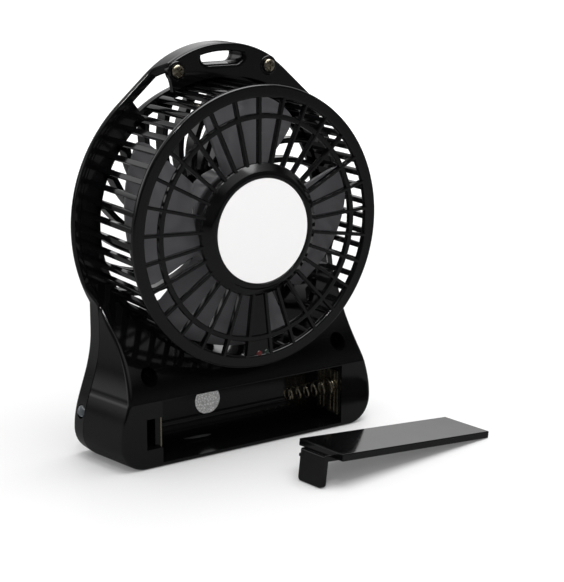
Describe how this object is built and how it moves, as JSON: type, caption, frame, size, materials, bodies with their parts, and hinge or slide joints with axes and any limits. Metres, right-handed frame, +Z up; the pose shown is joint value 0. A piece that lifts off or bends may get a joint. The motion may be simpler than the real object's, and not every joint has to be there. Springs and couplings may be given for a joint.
{
  "type": "desk fan",
  "caption": "Small rechargeable desk fan: round slatted drum on a flared foot with an open battery bay, its cover lying beside it.",
  "frame": {"origin": "middle of the foot's flat underside", "axes": "+Z up, +Y out of the rear grille and the battery bay, +X along the foot towards the side lamp"},
  "size_m": [0.138, 0.0921, 0.1429],
  "materials": {
    "housing": "glossy",
    "blades": "satin",
    "button": "satin",
    "paper": "matte",
    "foil": "speckled",
    "nickel": "polished",
    "steel": "polished",
    "red_lens": "glossy",
    "green_lens": "glossy",
    "clear_lens": "clear",
    "board": "satin",
    "switch": "matte"
  },
  "bodies": {
    "housing": {"rear_housing": "housing", "front_housing": "housing", "motor": "steel", "hub_label": "paper", "bay_seal": "foil", "charge_lamp": "red_lens", "full_lamp": "green_lens", "side_lamp": "clear_lens", "circuit_board": "board", "power_switch": "switch", "usb_socket": "steel", "battery_spring": "nickel", "spring_plate": "nickel", "positive_contact": "nickel", "top_screw_left": "nickel", "foot_screw_left": "nickel", "top_screw_right": "nickel", "foot_screw_right": "nickel"},
    "rotor": {"impeller": "blades", "motor_shaft": "steel"},
    "button": {"power_button": "button"},
    "door": {"battery_door": "housing"}
  },
  "joints": [
    {"name": "fan_spin", "type": "hinge", "parent": "housing", "child": "rotor", "pos_m": [0, 0, 0.081], "axis": [0, 1, 0], "continuous": true},
    {"name": "power_button_press", "type": "slide", "parent": "housing", "child": "button", "axis": [0, 1, 0], "range_m": [0, 0.0006], "stiffness_N_per_m": 800, "springref_m": -0.0006},
    {"name": "battery_door_lift", "type": "slide", "parent": "housing", "child": "door", "axis": [0, 0, 1], "range_m": [0, 0.06]}
  ]
}
